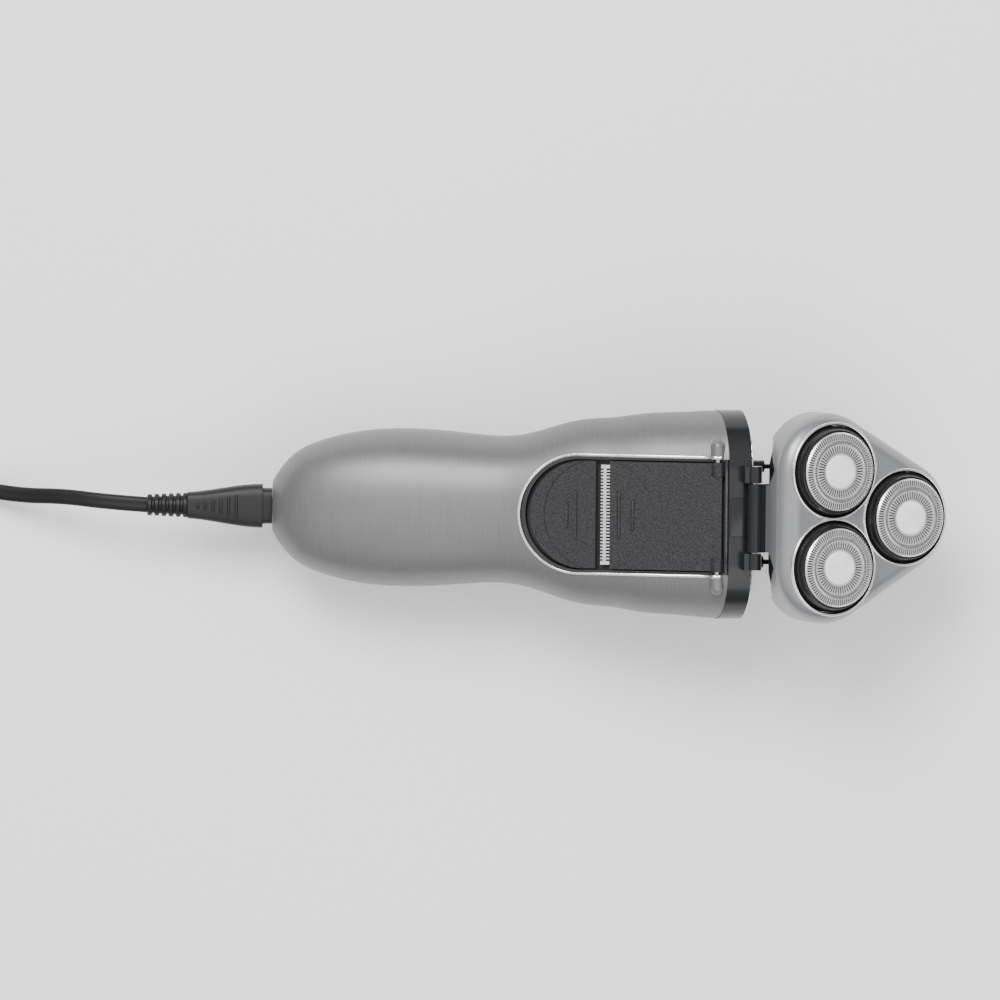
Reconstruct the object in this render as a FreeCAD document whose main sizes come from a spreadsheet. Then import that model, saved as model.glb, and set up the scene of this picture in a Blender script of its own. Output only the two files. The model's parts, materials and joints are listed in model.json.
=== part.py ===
import FreeCAD, Part
import math
import os
import Sketcher
from FreeCAD import Placement, Rotation, Vector

# Rotary electric shaver with three cutters, lying on its front with its shaving head flipped open.
# Millimetres. +X runs from the charging socket to the head, +Y across the body, +Z up from the
# surface that it lies on. The origin is below the middle of the object, on that surface.
#
# Three leaning frames carry the pieces that don't lie square to the world:
#   MOUTH    the collar, gears and spindles. z points out of the collar, x from the hinge to the chin.
#   HEAD     the flipped open head. Turned shut about the hinge, it falls on MOUTH.
#   TRIMMER  the pop-up trimmer. Its origin is on the trimmer's own hinge, z points out of the back.

DIMENSIONS = {
    # the three cutters, seen along their axes
    "gear_module": 0.4,
    "sun_teeth": 35,
    "planet_teeth": 42,
    "pinion_teeth": 10,
    "hinge_to_first_cutter": 18.5,
    # hinge of the head
    "hinge_x": 40.2,
    "hinge_height": 55.7,
    "mouth_lean": 12,
    "head_open_tilt": 30,
    "knuckle_radius": 2.0,
    "knuckle_half_width": 9.5,
    "ear_inner": 9.8,
    "ear_outer": 14.4,
    "hinge_pin_radius": 0.8,
    "running_gap": 0.05,
    # shell and collar
    "shell_wall": 1.8,
    "shell_corner": 15.6,
    "parting_start_height": 18.5,
    "parting_slope": 4.2,
    "collar_corner": 15.8,
    "collar_wall": 2.2,
    "collar_depth": 6.6,
    # head
    "head_corner": 15.9,
    "head_bottom": 0.4,
    "head_top": 12,
    "head_wall": 1.6,
    "head_edge": 5,
    "opening_radius": 12.8,
    "liner_corner": 14.1,
    "liner_wall": 1.2,
    "liner_top": 9.8,
    "retainer_bottom": 4.4,
    "retainer_top": 6.0,
    "knob_stem_radius": 2.3,
    # shaving units
    "comb_radius": 10.9,
    "comb_skirt_bottom": 10.0,
    "comb_face": 15.3,
    "comb_sheet": 0.5,
    "outer_slots": 90,
    "inner_slots": 54,
    "slot_width": 0.34,
    "ring_radius": 12.5,
    "ring_bottom": 8.0,
    "ring_top": 14.3,
    "cap_radius": 4.6,
    "cutter_radius": 10.0,
    "cutter_blades": 15,
    "spindle_radius": 1.7,
    "spindle_tip": 9.3,
    "socket_radius": 2.2,
    # drive
    "plate_front": -6.8,
    "plate_back": -8.2,
    "gear_front": -9.4,
    "gear_back": -11.4,
    "carrier_front": -11.8,
    "carrier_back": -13.2,
    "motor_radius": 7.5,
    "motor_length": 19.6,
    # trimmer
    "trimmer_hinge_x": 30,
    "trimmer_hinge_height": 52.35,
    "back_slope": 12,
    "recess_radius": 16.1,
    "recess_centre": -39.7,
    "thumb_centre": -33.4,
    "thumb_radius": 15.6,
    "thumb_floor": 0.75,
    "tray_radius": 16.0,
    "tray_wall": 0.6,
    "tray_top": 0.2,
    "tray_floor": -3.0,
    "tray_end": 2.4,
    "skin": 1.2,
    "panel_start": -30.4,
    "panel_end": 1.4,
    "panel_half_width": 15.0,
    "boss_radius": 2.0,
    "blade_start": -33.1,
    "trimmer_teeth": 29,
    "button_centre": -37.9,
    "button_radius": 15.0,
    "button_end": -34.4,
    # inside the handle
    "cell_radius": 7.15,
    "cell_length": 49,
    "cell_start": -83,
    "cell_height": 20,
    "socket_height": 18.5,
    "button_x": -14,
    "power_radius": 6.5,
    # charging lead
    "plug_face": -94.4,
    "plug_shoulder": -97,
    "relief_start": -118,
    "relief_end": -129.4,
    "cord_width": 4.4,
    "cord_thickness": 2.3,
    "coil_x": -212,
    "coil_y": -21.4,
    "coil_mean_radius": 25,
    "coil_half_width": 6.9,
    "coil_bottom": 0.6,
    "coil_top": 7.7,
    "tail_height": 6.35,
    "tail_end": -230.5,
    "adaptor_start": -242,
    "adaptor_length": 40,
    "adaptor_width": 30,
    "adaptor_depth": 22,
}

# Sections of the handle from its tail to the collar: place along X, half width, front (low) and back
# (high) heights, lean in degrees, and how far the oval has become the rounded triangle of the head.
SECTIONS = {
    "tail": (-94.2, 7.0, 13.0, 24.0, 0, 0),
    "tail_round": (-92.0, 10.6, 9.8, 27.0, 0, 0),
    "heel": (-87, 15.6, 5.6, 31.0, 0, 0),
    "heel_full": (-79, 19.1, 2.6, 34.4, 0, 0),
    "grip_low": (-69, 21.3, 0.5, 36.7, 0, 0),
    "belly": (-56, 22.1, -0.3, 38.4, 0, 0),
    "grip_high": (-42, 21.3, 1.6, 39.4, 0, 0),
    "waist": (-29.5, 20.5, 4.8, 40.9, 0, 0.05),
    "waist_end": (-21, 21.9, 6.2, 42.7, 0, 0.15),
    "shoulder": (-13, 24.4, 6.4, 44.4, 0, 0.3),
    "shoulder_full": (-4, 26.0, 5.6, 46.4, 1, 0.45),
    "neck": (6, 27.3, 4.0, 48.9, 4, 0.65),
    "neck_full": (17, 28.3, 2.0, 51.5, 8, 0.85),
    "mouth_start": (22, 28.65, 1.58, 52.8, 10, 0.93),
}

SECTION_PARTS = ("place", "width", "front", "back", "lean", "triangle")

doc = FreeCAD.newDocument("rotary_shaver")
sheet = doc.addObject("Spreadsheet::Sheet", "dims")


def fill_sheet():
    """Write every driving dimension into the sheet, one alias a row."""
    cells = dict(DIMENSIONS)
    for name, numbers in SECTIONS.items():
        cells.update({f"{name}_section_{part}": n for part, n in zip(SECTION_PARTS, numbers)})
    for row, (alias, number) in enumerate(cells.items(), 1):
        sheet.set(f"A{row}", alias)
        sheet.set(f"B{row}", str(number))
        sheet.setAlias(f"B{row}", alias)
    doc.recompute()


fill_sheet()
PIECES = []


def size(formula):
    """The number that a formula over the sheet's cells gives. Cells are written without their sheet's name."""
    words = set(DIMENSIONS)
    text = "".join(f"dims.{w}" if w in words else w for w in split_words(formula))
    return float(sheet.evalExpression(text))


def split_words(formula):
    """A formula cut into words and the signs between them."""
    words, word = [], ""
    for letter in str(formula):
        if letter.isalnum() or letter == "_" or letter == ".":
            word += letter
        else:
            words += [word, letter]
            word = ""
    return words + [word]


def bound(formula):
    """The same formula as an expression that a property can be bound to."""
    words = set(DIMENSIONS)
    return "".join(f"dims.{w}" if w in words else w for w in split_words(formula))


def turned_frame(x, z, angle):
    return Placement(Vector(x, 0, z), Rotation(Vector(0, 1, 0), angle))


WORLD = Placement()
MOUTH = turned_frame(size("hinge_x"), size("hinge_height"), 90 + size("mouth_lean"))
HEAD = turned_frame(size("hinge_x"), size("hinge_height"), size("head_open_tilt"))
TRIMMER = turned_frame(size("trimmer_hinge_x"), size("trimmer_hinge_height"), -size("back_slope"))

# The cutters stand on a triangle about the sun gear, which meshes with all three planet gears.
SPREAD = size("gear_module * (sun_teeth + planet_teeth) / 2")
CENTRE_X = size("hinge_to_first_cutter") + SPREAD / 2
CUTTER_ANGLES = (120, 240, 0)
CUTTERS = [
    Vector(CENTRE_X + SPREAD * math.cos(math.radians(a)), SPREAD * math.sin(math.radians(a)), 0)
    for a in CUTTER_ANGLES
]
PINION_ANGLE = 60
PINION_SPREAD = size("gear_module * (sun_teeth + pinion_teeth) / 2")
PINION = Vector(
    CENTRE_X + PINION_SPREAD * math.cos(math.radians(PINION_ANGLE)),
    PINION_SPREAD * math.sin(math.radians(PINION_ANGLE)),
    0,
)


# ---- helpers -------------------------------------------------------------------------------------


def keep(item, label):
    """Name a finished sub-part and list it for writing."""
    item.Label = label
    PIECES.append(item)
    return item


def at(frame, x=0, y=0, z=0, turn=0):
    """A place in a frame, turned about the frame's z."""
    return frame.multiply(Placement(Vector(x, y, z), Rotation(Vector(0, 0, 1), turn)))


def primitive(kind, place, **sizes):
    """A Part primitive with its sizes bound to the sheet."""
    item = doc.addObject(f"Part::{kind}", kind)
    for name, formula in sizes.items():
        item.setExpression(name, bound(formula))
    item.Placement = place
    return item


def block(frame, x0, x1, half_width, z0, z1, y=0):
    """A box between two places along x and z, centred on y."""
    corner = at(frame, size(x0), y - size(half_width), size(z0))
    return primitive(
        "Box", corner, Length=f"({x1}) - ({x0})", Width=f"2 * ({half_width})", Height=f"({z1}) - ({z0})"
    )


def cross_bar(frame, radius, y0, y1, x=0, z=0):
    """A cylinder along y between two places."""
    low = min(y0, y1)
    place = frame.multiply(Placement(Vector(x, low, z), Rotation(Vector(1, 0, 0), -90)))
    return primitive("Cylinder", place, Radius=radius, Height=str(abs(y1 - y0)))


def rod(frame, radius, z0, z1, x=0, y=0):
    """A cylinder along z between two heights."""
    return primitive("Cylinder", at(frame, x, y, size(z0)), Radius=radius, Height=f"({z1}) - ({z0})")


def joined(items):
    """Several items fused into one."""
    if len(items) == 1:
        return items[0]
    item = doc.addObject("Part::MultiFuse", "Joined")
    item.Shapes = items
    return item


def less(base, tools):
    """An item with others cut away from it."""
    item = doc.addObject("Part::Cut", "Cut")
    item.Base = base
    item.Tool = joined(tools)
    return item


def origin_feature(body, role):
    return next(f for f in body.Origin.OriginFeatures if f.Role == role)


def sketch_on(body, role="XY_Plane", height="0"):
    """An empty sketch on one of a body's own planes, raised by a height."""
    sketch = body.newObject("Sketcher::SketchObject", "Sketch")
    sketch.AttachmentSupport = [(origin_feature(body, role), "")]
    sketch.MapMode = "FlatFace"
    sketch.setExpression("AttachmentOffset.Base.z", bound(height))
    return sketch


def dimension(sketch, kind, formula, *where):
    """One driving dimension bound to a formula. A place below zero is measured with its sign."""
    number = sketch.addConstraint(Sketcher.Constraint(kind, *where, size(formula)))
    sketch.setExpression(f"Constraints[{number}]", bound(formula))


def draw_polygon(sketch, corners):
    """A closed outline of straight lines through corners whose places are formulas."""
    points = [Vector(size(x), size(y), 0) for x, y in corners]
    first, count = sketch.GeometryCount, len(points)
    for i in range(count):
        sketch.addGeometry(Part.LineSegment(points[i], points[(i + 1) % count]), False)
    for i in range(count):
        sketch.addConstraint(Sketcher.Constraint("Coincident", first + i, 2, first + (i + 1) % count, 1))
        dimension(sketch, "DistanceX", corners[i][0], -1, 1, first + i, 1)
        dimension(sketch, "DistanceY", corners[i][1], -1, 1, first + i, 1)


def draw_circle(sketch, x, y, radius):
    """A circle about a fixed centre with a bound radius."""
    number = sketch.addGeometry(Part.Circle(Vector(x, y, 0), Vector(0, 0, 1), size(radius)), False)
    sketch.addConstraint(Sketcher.Constraint("DistanceX", -1, 1, number, 3, x))
    sketch.addConstraint(Sketcher.Constraint("DistanceY", -1, 1, number, 3, y))
    dimension(sketch, "Radius", radius, number)


def draw_triangle(sketch, radius):
    """The head's rounded triangle: an arc about each cutter and straight lines tangent to them."""
    r = size(radius)
    for number, centre in enumerate((CUTTERS[2], CUTTERS[0], CUTTERS[1])):
        start = math.radians(-60 + 120 * number)
        circle = Part.Circle(centre, Vector(0, 0, 1), r)
        sketch.addGeometry(Part.ArcOfCircle(circle, start, start + math.radians(120)), False)
    ends = [sketch.getPoint(i, 2) for i in range(3)]
    starts = [sketch.getPoint(i, 1) for i in range(3)]
    for i in range(3):
        sketch.addGeometry(Part.LineSegment(ends[i], starts[(i + 1) % 3]), False)
        sketch.addConstraint(Sketcher.Constraint("Tangent", i, 2, 3 + i, 1))
        sketch.addConstraint(Sketcher.Constraint("Tangent", 3 + i, 2, (i + 1) % 3, 1))
    for i, centre in enumerate((CUTTERS[2], CUTTERS[0], CUTTERS[1])):
        sketch.addConstraint(Sketcher.Constraint("DistanceX", -1, 1, i, 3, centre.x))
        sketch.addConstraint(Sketcher.Constraint("DistanceY", -1, 1, i, 3, centre.y))
    dimension(sketch, "Radius", radius, 0)
    sketch.addConstraint(Sketcher.Constraint("Equal", 0, 1))
    sketch.addConstraint(Sketcher.Constraint("Equal", 0, 2))


def draw_tongue(sketch, centre, radius, end):
    """A half circle on the low side of a centre, carried on straight to an end."""
    x, r = size(centre), size(radius)
    stop = size(end)
    arc = Part.ArcOfCircle(Part.Circle(Vector(x, 0, 0), Vector(0, 0, 1), r), math.pi / 2, 1.5 * math.pi)
    sketch.addGeometry(arc, False)
    sketch.addGeometry(Part.LineSegment(Vector(x, -r, 0), Vector(stop, -r, 0)), False)
    sketch.addGeometry(Part.LineSegment(Vector(stop, -r, 0), Vector(stop, r, 0)), False)
    sketch.addGeometry(Part.LineSegment(Vector(stop, r, 0), Vector(x, r, 0)), False)
    sketch.addConstraint(Sketcher.Constraint("Tangent", 0, 2, 1, 1))
    sketch.addConstraint(Sketcher.Constraint("Coincident", 1, 2, 2, 1))
    sketch.addConstraint(Sketcher.Constraint("Coincident", 2, 2, 3, 1))
    sketch.addConstraint(Sketcher.Constraint("Tangent", 3, 2, 0, 1))
    sketch.addConstraint(Sketcher.Constraint("Horizontal", 1))
    sketch.addConstraint(Sketcher.Constraint("Vertical", 2))
    sketch.addConstraint(Sketcher.Constraint("PointOnObject", 0, 3, -1))
    dimension(sketch, "DistanceX", centre, -1, 1, 0, 3)
    dimension(sketch, "DistanceX", end, -1, 1, 2, 1)
    dimension(sketch, "Radius", radius, 0)


def new_body(place=WORLD):
    body = doc.addObject("PartDesign::Body", "Body")
    body.Placement = place
    return body


def pad(body, sketch, height):
    """Raise a sketch by a height."""
    feature = body.newObject("PartDesign::Pad", "Pad")
    feature.Profile = sketch
    feature.setExpression("Length", bound(height))
    doc.recompute()
    return feature


def pocket(body, sketch, depth):
    """Sink a sketch by a depth, and make sure that it takes something away."""
    before = body.Shape.Volume
    feature = body.newObject("PartDesign::Pocket", "Pocket")
    feature.Profile = sketch
    feature.setExpression("Length", bound(depth))
    doc.recompute()
    if body.Shape.Volume > before - 1e-6:
        raise RuntimeError("a pocket cut nothing")
    return feature


def around(body, feature, count):
    """Repeat a feature about the body's z axis."""
    pattern = body.newObject("PartDesign::PolarPattern", "Around")
    pattern.Originals = [feature]
    pattern.Axis = (origin_feature(body, "Z_Axis"), [""])
    pattern.Angle = 360
    pattern.setExpression("Occurrences", bound(count))
    body.Tip = pattern
    doc.recompute()
    return pattern


def turned(place, corners):
    """A body turned about its own z axis from an outline of radius and height."""
    body = new_body(place)
    sketch = sketch_on(body, "XZ_Plane")
    draw_polygon(sketch, corners)
    feature = body.newObject("PartDesign::Revolution", "Turned")
    feature.Profile = sketch
    feature.ReferenceAxis = (sketch, ["V_Axis"])
    feature.Angle = 360
    doc.recompute()
    return body


def triangle_plate(frame, radius, bottom, top):
    """A plate with the rounded outline of the head."""
    body = new_body(at(frame, 0, 0, size(bottom)))
    sketch = sketch_on(body)
    draw_triangle(sketch, radius)
    pad(body, sketch, f"({top}) - ({bottom})")
    return body


def triangle_hollow(body, radius, height, depth):
    """Sink the rounded outline into a plate from a height above its bottom."""
    sketch = sketch_on(body, height=height)
    draw_triangle(sketch, radius)
    pocket(body, sketch, depth)


def round_holes(body, places, radius, height, depth):
    """Sink round holes into a plate, one pocket for each."""
    for place in places:
        sketch = sketch_on(body, height=height)
        draw_circle(sketch, place.x, place.y, radius)
        pocket(body, sketch, depth)


def tongue_plate(centre, radius, end, bottom, top):
    """A plate in the trimmer's frame with one half round end."""
    body = new_body(at(TRIMMER, 0, 0, size(bottom)))
    sketch = sketch_on(body)
    draw_tongue(sketch, centre, radius, end)
    pad(body, sketch, f"({top}) - ({bottom})")
    return body


# ---- shell and collar ----------------------------------------------------------------------------


def triangle_reach(angle, radius):
    """How far the rounded triangle reaches from its middle in a direction, found by halving.

    The angle is measured from +Y towards the back of the shaver.
    """
    middle = CENTRE_X + SPREAD / 4
    near, far = 0.0, 60.0
    step = Vector(-math.sin(angle), math.cos(angle), 0)
    triangle = Part.makePolygon(CUTTERS + CUTTERS[:1])
    face = Part.Face(triangle)
    while far - near > 0.01:
        reach = (near + far) / 2
        point = Part.Vertex(Vector(middle, 0, 0) + step * reach)
        near, far = (reach, far) if point.distToShape(face)[0] < radius else (near, reach)
    return near


# The sections' points all lie in the same directions from their middles. Roundness 2 is an ellipse.
SECTION_ANGLES = [2 * math.pi * step / 32 for step in range(32)]
REACH = [triangle_reach(angle, size("shell_corner")) for angle in SECTION_ANGLES]
ROUNDNESS = 2.6


def section_wire(place, width, front, back, lean, triangle, inset):
    """One closed section of the handle, an oval on the way to a rounded triangle."""
    lean = math.radians(lean)
    half = (back - front) / 2 / math.cos(lean)
    triangle_width = SPREAD * math.sin(math.radians(60)) + size("shell_corner")
    triangle_half = 0.75 * SPREAD + size("shell_corner")
    outline = []
    for angle, reach in zip(SECTION_ANGLES, REACH):
        across, along = math.cos(angle), math.sin(angle)
        oval = (abs(across) ** ROUNDNESS + abs(along) ** ROUNDNESS) ** (-1 / ROUNDNESS)
        y = (1 - triangle) * oval * across + triangle * reach * across / triangle_width
        v = (1 - triangle) * oval * along + triangle * reach * along / triangle_half
        outline.append((y, v))
    widest = max(y for y, _ in outline)
    points = []
    for y, v in outline:
        y, v = y * width / widest, v * half
        short = 1 - inset / math.hypot(y, v)
        y, v = y * short, v * short
        height = (front + back) / 2 + v * math.cos(lean)
        points.append(Vector(place + v * math.sin(lean), y, height))
    curve = Part.BSplineCurve()
    curve.interpolate(Points=points, PeriodicFlag=True)
    return Part.Wire([curve.toShape()])


def handle_solid(inset):
    """The handle's outer solid, or the hollow inside it when inset by the wall."""
    lean = size("mouth_lean")
    rows = [[sheet.get(f"{name}_section_{part}") for part in SECTION_PARTS] for name in SECTIONS]
    rows[0][0] += inset
    middle = MOUTH.multVec(Vector(CENTRE_X + SPREAD / 4, 0, -size("collar_depth")))
    half_width = SPREAD * math.sin(math.radians(60)) + size("shell_corner")
    half = (0.75 * SPREAD + size("shell_corner")) * math.cos(math.radians(lean))
    rows.append([middle.x, half_width, middle.z - half, middle.z + half, lean, 1])
    wires = [section_wire(*row, inset) for row in rows]
    solid = Part.makeLoft(wires, True, False)
    if inset:
        out = MOUTH.Rotation.multVec(Vector(0, 0, 1))
        solid = solid.fuse(Part.Face(wires[-1]).extrude(out))
    return solid


def shape_piece(label, shape):
    """A sub-part whose freely curved shape is set directly."""
    item = doc.addObject("Part::Feature", "Shaped")
    item.Shape = shape
    return keep(item, label)


def make_shells():
    """Two half shells split along the handle, open for the trimmer, the power button and the socket."""
    shell = handle_solid(0).cut(handle_solid(size("shell_wall")))
    floor = Part.makeBox(300, 100, 50, Vector(-150, -50, -50))
    centre, radius = size("recess_centre"), size("recess_radius")
    recess = Part.makeBox(60, 2 * radius, 20, Vector(centre, -radius, -8))
    recess = recess.fuse(Part.makeCylinder(radius, 20, Vector(centre, 0, -8)))
    recess.Placement = TRIMMER
    button_hole = Part.makeCylinder(size("power_radius") + 0.2, 6, Vector(size("button_x"), 0, 3))
    light_hole = Part.makeCylinder(1.3, 6, Vector(size("button_x") - 17, 0, 2))
    socket_hole = Part.makeBox(6, 5.8, 3.8, Vector(-96, -2.9, size("socket_height") - 1.9))
    for tool in (recess, button_hole, light_hole, socket_hole, floor):
        shell = shell.cut(tool)
    back_half = Part.makeBox(300, 100, 100, Vector(-50, -50, 0))
    back_half.Placement = Placement(
        Vector(-94.7, 0, size("parting_start_height")), Rotation(Vector(0, 1, 0), -size("parting_slope"))
    )
    shape_piece("front_shell", shell.cut(back_half))
    back = shell.common(back_half)
    for side in (-1, 1):
        boss = Part.makeCylinder(size("boss_radius"), 3.4, Vector(0, side * 16.2, 0), Vector(0, side, 0))
        boss = boss.fuse(Part.makeSphere(size("boss_radius"), Vector(0, side * 19.6, 0)))
        hole = Part.makeCylinder(size("hinge_pin_radius"), 2.6, Vector(0, side * 16, 0), Vector(0, side, 0))
        boss.Placement = TRIMMER
        hole.Placement = TRIMMER
        back = back.fuse(boss).cut(hole)
    shape_piece("back_shell", back.removeSplitter())


def make_collar():
    """Dark ring about the mouth, with the ears that hold the head's hinge pin."""
    ring = triangle_plate(MOUTH, "collar_corner", "-collar_depth", "0")
    triangle_hollow(ring, "collar_corner - collar_wall", "collar_depth", "collar_depth")
    ears = []
    for side in (-1, 1):
        inner, outer = side * size("ear_inner"), side * size("ear_outer")
        ears.append(cross_bar(MOUTH, "knuckle_radius", inner, outer))
        middle = (inner + outer) / 2
        ears.append(block(MOUTH, "-1", "4.5", "(ear_outer - ear_inner) / 2", "-3", "-0.5", middle))
    pin_hole = cross_bar(MOUTH, "hinge_pin_radius", -15, 15)
    latch_window = block(MOUTH, "50", "60", "6.4", "-5.2", "-1.6")
    table = primitive("Box", Placement(Vector(-50, -50, -20), Rotation()), Length="150", Width="100", Height="20")
    keep(less(joined([ring] + ears), [pin_hole, latch_window, table]), "collar")


def make_hinge_pin():
    keep(cross_bar(MOUTH, "hinge_pin_radius", -size("ear_outer"), size("ear_outer")), "hinge_pin")


def make_release_button():
    """Button in the chin with the hook that holds the shut head."""
    button = block(MOUTH, "53.4", "57.2", "6.1", "-4.9", "-1.9")
    hook = block(MOUTH, "52.9", "54.2", "2.4", "-4.9", "2.7")
    lip = block(MOUTH, "54.1", "55.2", "2.4", "1.8", "2.7")
    keep(joined([button, hook, lip]), "release_button")


# ---- drive ---------------------------------------------------------------------------------------


def make_gear_plate():
    """Floor of the hair chamber, with a hole for each spindle hub."""
    plate = triangle_plate(MOUTH, "13.3", "plate_back", "plate_front")
    round_holes(plate, CUTTERS, "3.5", "plate_front - plate_back", "plate_front - plate_back")
    trimmer_side = block(MOUTH, "0", "11", "40", "-20", "0")
    keep(less(plate, [trimmer_side]), "gear_plate")


def make_gear_carrier():
    """Plate behind the gears, with a stud for each of them and a hole for the motor's shaft."""
    plate = triangle_plate(MOUTH, "11.6", "carrier_back", "carrier_front")
    round_holes(plate, [PINION], "1.4", "carrier_front - carrier_back", "carrier_front - carrier_back")
    studs = [rod(MOUTH, "1.2", "carrier_back", "gear_front - 0.4", c.x, c.y) for c in CUTTERS]
    studs.append(rod(MOUTH, "1.2", "carrier_back", "gear_front", CENTRE_X, 0))
    trimmer_side = block(MOUTH, "0", "12", "40", "-20", "-11.6")
    keep(joined([less(plate, [trimmer_side])] + studs), "gear_carrier")


def tooth_turn(teeth, angle):
    """How far a gear is turned so that its gap takes the sun gear's tooth, in degrees."""
    pitch = 360 / size("sun_teeth")
    nearest = round(angle / pitch) * pitch - angle
    return angle + 180 - nearest * size("sun_teeth") / size(teeth) + 180 / size(teeth)


def toothed(place, teeth, hub):
    """A spur gear: a turned disc and hub with one tooth repeated about it."""
    module = "gear_module"
    root = f"{module} * ({teeth} / 2 - 1.25)"
    tip = f"{module} * ({teeth} / 2 + 0.8)"
    width = "gear_front - gear_back"
    body = turned(place, [(hub[0], "0"), (root, "0"), (root, width)] + hub[1])
    sketch = sketch_on(body)
    inside = f"{root} - 0.2"
    flank, crest = f"{module} * 0.8", f"{module} * 0.3"
    draw_polygon(sketch, [(inside, f"-({flank})"), (tip, f"-({crest})"), (tip, crest), (inside, flank)])
    tooth = pad(body, sketch, width)
    around(body, tooth, teeth)
    return body


def make_gears():
    """Sun gear on its stud and a planet gear with a long hub for each spindle."""
    width = "gear_front - gear_back"
    place = at(MOUTH, CENTRE_X, 0, size("gear_back"))
    hub = ("1.2 + running_gap", [("1.2 + running_gap", width)])
    keep(toothed(place, "sun_teeth", hub), "sun_gear")
    deep, long = "gear_front - gear_back - 0.2", "gear_front - gear_back + 6.2"
    for number, (centre, angle) in enumerate(zip(CUTTERS, CUTTER_ANGLES), 1):
        bore, sleeve = "1.2 + running_gap", "spindle_radius + running_gap"
        steps = [("3.2", width), ("3.2", long), (sleeve, long), (sleeve, deep), (bore, deep)]
        place = at(MOUTH, centre.x, centre.y, size("gear_back"), tooth_turn("planet_teeth", angle))
        keep(toothed(place, "planet_teeth", (bore, steps)), f"planet_gear_{number}")


def make_pinion():
    """Small gear on the motor's shaft."""
    width = "gear_front - gear_back"
    place = at(MOUTH, PINION.x, PINION.y, size("gear_back"), tooth_turn("pinion_teeth", PINION_ANGLE))
    gear = toothed(place, "pinion_teeth", ("0", [("0", width)]))
    shaft = rod(MOUTH, "0.6", "gear_back - 4", "gear_back + 1", PINION.x, PINION.y)
    keep(joined([gear, shaft]), "motor_pinion")


def make_spindles():
    """Sprung spindles that reach out of the gear hubs into the cutters."""
    for number, centre in enumerate(CUTTERS, 1):
        shaft = rod(MOUTH, "spindle_radius", "-8", "spindle_tip - 2.5", centre.x, centre.y)
        key = block(at(MOUTH, centre.x, centre.y), "-1.6", "1.6", "0.6", "spindle_tip - 3", "spindle_tip")
        keep(joined([shaft, key]), f"spindle_{number}")


def make_motor():
    """Can motor behind the gears, with a blind hole for the shaft."""
    back = "carrier_back - motor_length"
    can = rod(MOUTH, "motor_radius", back, "carrier_back", PINION.x, PINION.y)
    boss = rod(MOUTH, "2.5", f"{back} - 1.5", back, PINION.x, PINION.y)
    bore = rod(MOUTH, "0.6 + running_gap", "gear_back - 4.3", "carrier_back + 1", PINION.x, PINION.y)
    keep(less(joined([can, boss]), [bore]), "motor")


# ---- inside the handle ---------------------------------------------------------------------------


def make_battery():
    """Two cells side by side."""
    for number, side in enumerate((-1, 1), 1):
        height = size("cell_height")
        frame = Placement(Vector(size("cell_start"), side * 7.3, height), Rotation(Vector(0, 1, 0), 90))
        cell = rod(frame, "cell_radius", "0", "cell_length")
        nub = rod(frame, "2.8", "cell_length", "cell_length + 1")
        keep(joined([cell, nub]), f"battery_cell_{number}")


def make_electronics():
    """Circuit board in front of the cells, with the power switch and charge light on it."""
    x = "button_x"
    keep(block(WORLD, "-74", f"{x} + 8", "12.5", "11.2", "12.4"), "circuit_board")
    switch = block(WORLD, f"{x} - 3", f"{x} + 3", "3", "9.4", "11.2")
    plunger = rod(WORLD, "1.2", "9.1", "9.4", size(x), 0)
    keep(joined([switch, plunger]), "power_switch")
    keep(rod(WORLD, "1.3", "5.2", "11.2", size(x) - 17, 0), "charge_light")


def make_power_button():
    """Round button in the front of the grip, above the switch."""
    x = size("button_x")
    cap = rod(WORLD, "power_radius", "4.6", "7.2", x, 0)
    stem = rod(WORLD, "1.5", "7.2", "8.2", x, 0)
    keep(joined([cap, stem]), "power_button")


def make_charge_socket():
    """Two-pole socket behind the tail's wall."""
    frame = Placement(Vector(0, 0, size("socket_height")), Rotation())
    case = block(frame, "-91.7", "-84.6", "5", "-3.5", "3.5")
    hollow = block(frame, "-93", "-86.6", "2.7", "-1.7", "1.7")
    keep(less(case, [hollow]), "charge_socket")


# ---- trimmer -------------------------------------------------------------------------------------


def make_trimmer_tray():
    """Tub that lines the recess in the back. Its ledge is widest at the rounded end."""
    body = tongue_plate("recess_centre", "tray_radius", "tray_end", "tray_floor", "tray_top")
    sketch = sketch_on(body, height="tray_top - tray_floor")
    draw_tongue(sketch, "recess_centre + tray_wall", "tray_radius - tray_wall", "tray_end - 0.3")
    pocket(body, sketch, "tray_top - tray_floor - tray_wall")
    pin_hole = cross_bar(TRIMMER, "hinge_pin_radius + 0.1", -17, 17)
    keep(less(body, [pin_hole]), "trimmer_tray")


def make_trimmer_pins():
    pins = [cross_bar(TRIMMER, "hinge_pin_radius", side * 12.4, side * 18.4) for side in (-1, 1)]
    keep(joined(pins), "trimmer_pins")


def make_trimmer_panel():
    """Lid with the thumb recess, the drive housing below it and a hinge boss on each side."""
    lid = block(TRIMMER, "panel_start", "panel_end", "panel_half_width", "0", "skin")
    housing = block(TRIMMER, "-26", "-2.6", "11.5", "-2.2", "0.1")
    bosses = [cross_bar(TRIMMER, "boss_radius", side * 11.4, side * 15.2) for side in (-1, 1)]
    holes = [cross_bar(TRIMMER, "hinge_pin_radius + running_gap", side * 12.2, side * 16) for side in (-1, 1)]
    keep(less(joined([lid, housing] + bosses), holes + [thumb_recess()]), "trimmer_panel")


def thumb_recess():
    """Shallow round recess that the button and the panel share."""
    return rod(TRIMMER, "thumb_radius", "thumb_floor", "skin + 2", size("thumb_centre"), 0)


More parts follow.
